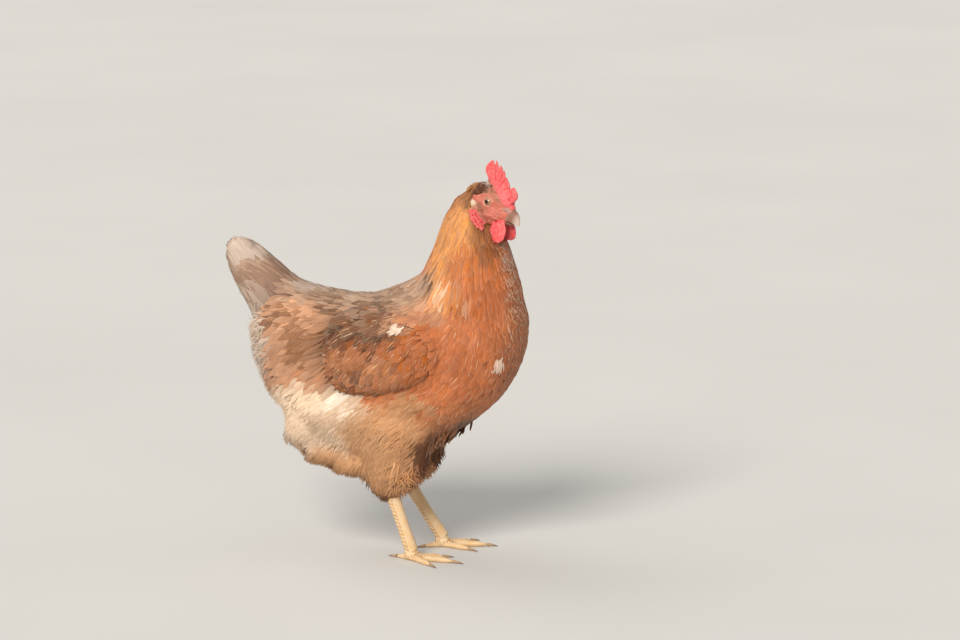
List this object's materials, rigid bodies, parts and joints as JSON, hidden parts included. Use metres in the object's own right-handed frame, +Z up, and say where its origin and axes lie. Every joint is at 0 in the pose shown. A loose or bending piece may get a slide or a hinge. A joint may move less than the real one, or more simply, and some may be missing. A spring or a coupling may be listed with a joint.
{
  "type": "hen",
  "caption": "Life-size still model of a brown laying hen standing with its head turned to its right, for display on a floor.",
  "frame": {"origin": "on the floor, under the middle of the hen's box", "axes": "+X the way the body faces, +Y the hen's left, +Z up"},
  "size_m": [0.3368, 0.168, 0.4397],
  "materials": {
    "plumage": "matte",
    "wing_plumage": "matte",
    "thigh_plumage": "matte",
    "saddle_plumage": "matte",
    "fluff": "matte",
    "tail_plumage": "matte",
    "face_skin": "satin",
    "comb_skin": "satin",
    "lobe_skin": "satin",
    "bill_horn": "satin",
    "leg_scale": "satin",
    "claw_horn": "satin",
    "eye": "gloss"
  },
  "bodies": {
    "root": {"bill_lower": "bill_horn", "bill_upper": "bill_horn", "claw_left_hind": "claw_horn", "claw_left_inner": "claw_horn", "claw_left_middle": "claw_horn", "claw_left_outer": "claw_horn", "claw_right_hind": "claw_horn", "claw_right_inner": "claw_horn", "claw_right_middle": "claw_horn", "claw_right_outer": "claw_horn", "comb": "comb_skin", "earlobe_left": "lobe_skin", "earlobe_right": "lobe_skin", "eye_left": "eye", "eye_right": "eye", "fluff": "fluff", "foot_left": "leg_scale", "foot_right": "leg_scale", "head": "face_skin", "neck": "plumage", "saddle": "saddle_plumage", "shank_left": "leg_scale", "shank_right": "leg_scale", "tail": "tail_plumage", "thigh_left": "thigh_plumage", "thigh_right": "thigh_plumage", "trunk": "plumage", "wattle_left": "comb_skin", "wattle_right": "comb_skin", "wing_left": "wing_plumage", "wing_right": "wing_plumage"}
  },
  "joints": []
}
